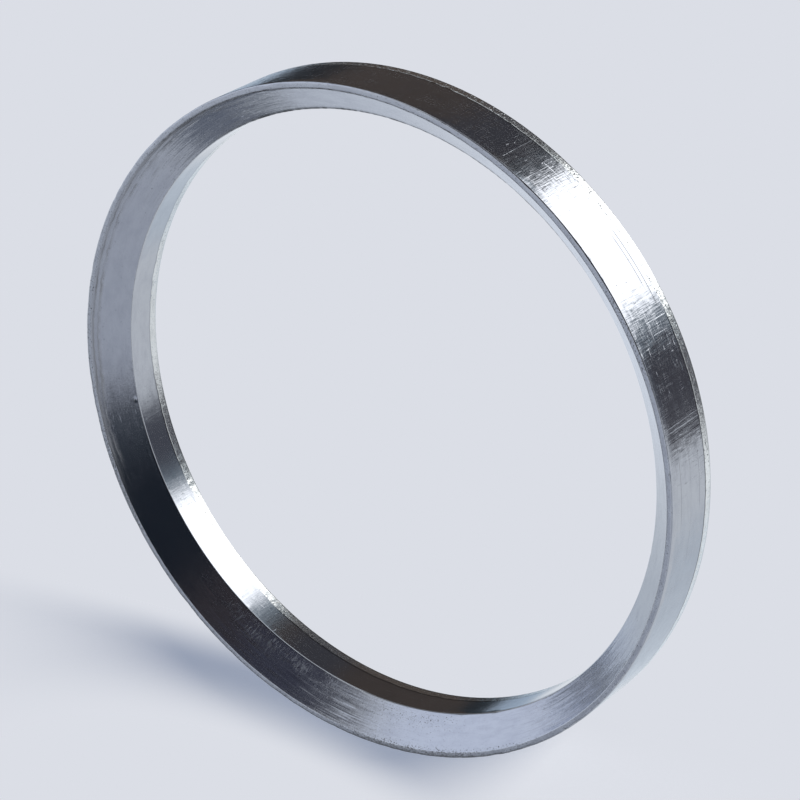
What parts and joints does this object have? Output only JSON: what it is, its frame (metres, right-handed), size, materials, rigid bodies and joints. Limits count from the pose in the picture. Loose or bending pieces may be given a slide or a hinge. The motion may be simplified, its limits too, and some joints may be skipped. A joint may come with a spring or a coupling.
{
  "type": "graphite sealing ring",
  "caption": "Pressed graphite sealing ring for a pressure-seal cover: flat heel with foil corner caps, straight bore and outside, and a 45 degree inner cone under a narrow land.",
  "frame": {"origin": "centre of the flat heel face that the ring lies on, on the ring's axis", "axes": "+Z is the ring's axis, from the heel with the corner caps to the land and cone; X and Y are any two radii, as the ring is round"},
  "size_m": [0.1, 0.1, 0.01],
  "materials": {
    "graphite": "gloss",
    "steel_foil": "polished"
  },
  "bodies": {
    "root": {"graphite_ring": "graphite", "outer_corner_cap": "steel_foil", "inner_corner_cap": "steel_foil"}
  },
  "joints": []
}
